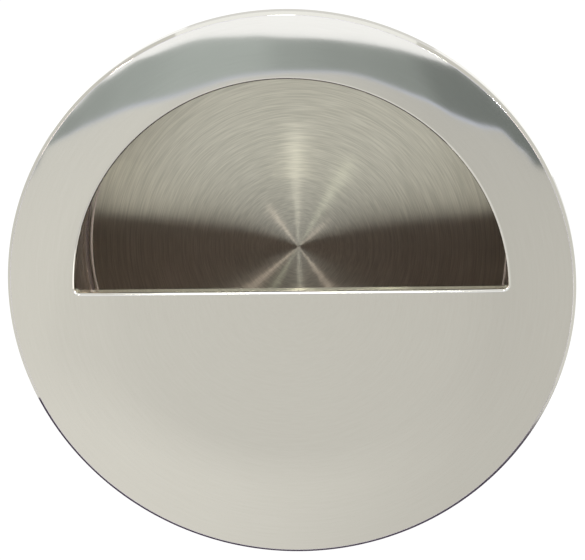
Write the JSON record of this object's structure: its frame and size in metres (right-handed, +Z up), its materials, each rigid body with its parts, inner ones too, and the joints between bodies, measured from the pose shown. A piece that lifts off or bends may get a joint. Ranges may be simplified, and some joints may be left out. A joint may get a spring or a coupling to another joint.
{
  "type": "recessed pull handle",
  "caption": "Round recessed door pull: a drawn steel cup with a polished clip-on cover whose half-moon opening takes the fingers, over hidden countersunk fixing screws.",
  "frame": {"origin": "on the cup's axis, in the plane of the door's surface, where the centre of the fixing screws' circle lies", "axes": "-Y out of the door towards the hand, +Y into the door along the cup, +Z up, +X to the right as seen from the front"},
  "size_m": [0.09, 0.0222, 0.09],
  "materials": {
    "polished_steel": "mirror polished stainless steel",
    "satin_steel": "satin stainless steel with turned grain on the floor",
    "screw_steel": "plain stainless steel wood screw"
  },
  "bodies": {
    "root": {"cover_plate": "polished_steel", "cup": "satin_steel", "fixing_screws": "screw_steel"}
  },
  "joints": []
}
